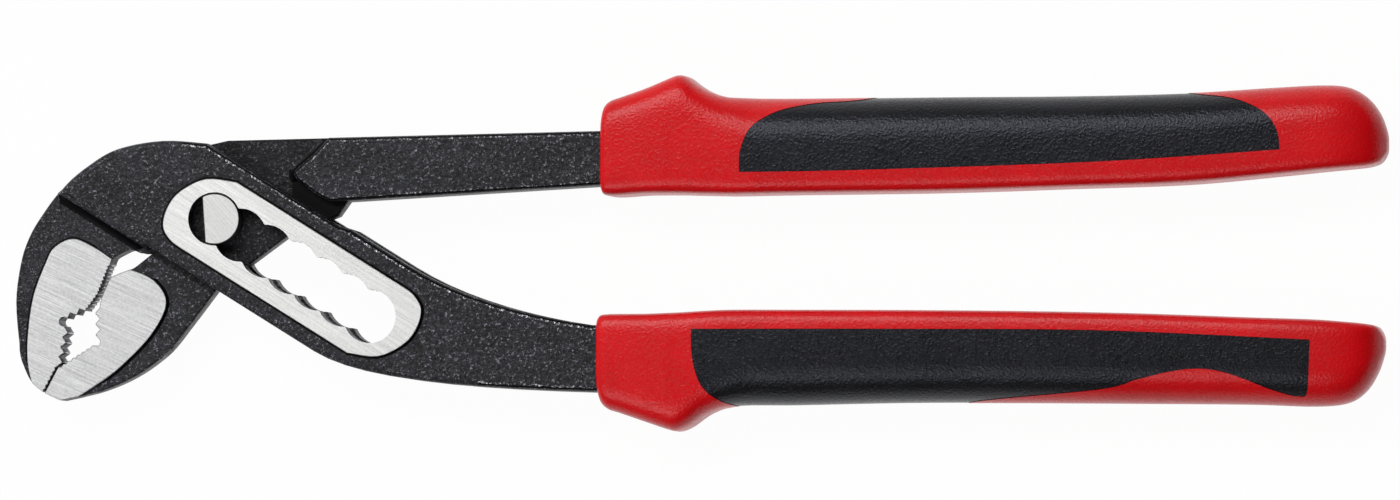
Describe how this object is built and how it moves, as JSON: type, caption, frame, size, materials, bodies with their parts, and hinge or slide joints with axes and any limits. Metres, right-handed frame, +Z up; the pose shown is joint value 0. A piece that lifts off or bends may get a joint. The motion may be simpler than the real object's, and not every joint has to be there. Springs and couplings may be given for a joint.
{
  "type": "slip joint pliers",
  "caption": "Box-joint slip joint pliers with a notched adjusting slot, serrated pipe jaws, black forged arms and guarded two-colour grips.",
  "frame": {"origin": "centre of the tool's outline on the surface that it lies on", "axes": "+X from the jaws towards the grip ends, +Y from the lower handle to the upper handle, +Z up from the lying tool"},
  "size_m": [0.2498, 0.0642, 0.016],
  "materials": {
    "forged_steel": "black phosphated forging with ground pads",
    "ground_steel": "ground bright",
    "red_plastic": "satin moulded plastic with a fine grain",
    "black_soft": "fine grained soft moulding"
  },
  "bodies": {
    "slotted_arm": {"slotted_arm": "forged_steel", "lower_grip_body": "red_plastic", "lower_grip_inlay": "black_soft"},
    "adjuster": {"pin_plug": "ground_steel"},
    "through_arm": {"through_arm": "forged_steel", "pivot_pin": "ground_steel", "upper_grip_body": "red_plastic", "upper_grip_inlay": "black_soft"}
  },
  "joints": [
    {"name": "notch_slide", "type": "slide", "parent": "slotted_arm", "child": "adjuster", "axis": [0.8517, -0.524, 0], "range_m": [0, 0.0336]},
    {"name": "handle_pivot", "type": "hinge", "parent": "adjuster", "child": "through_arm", "pos_m": [-0.08765, 0.00605, 0.008], "axis": [0, 0, 1], "range_deg": [0, 45]}
  ]
}
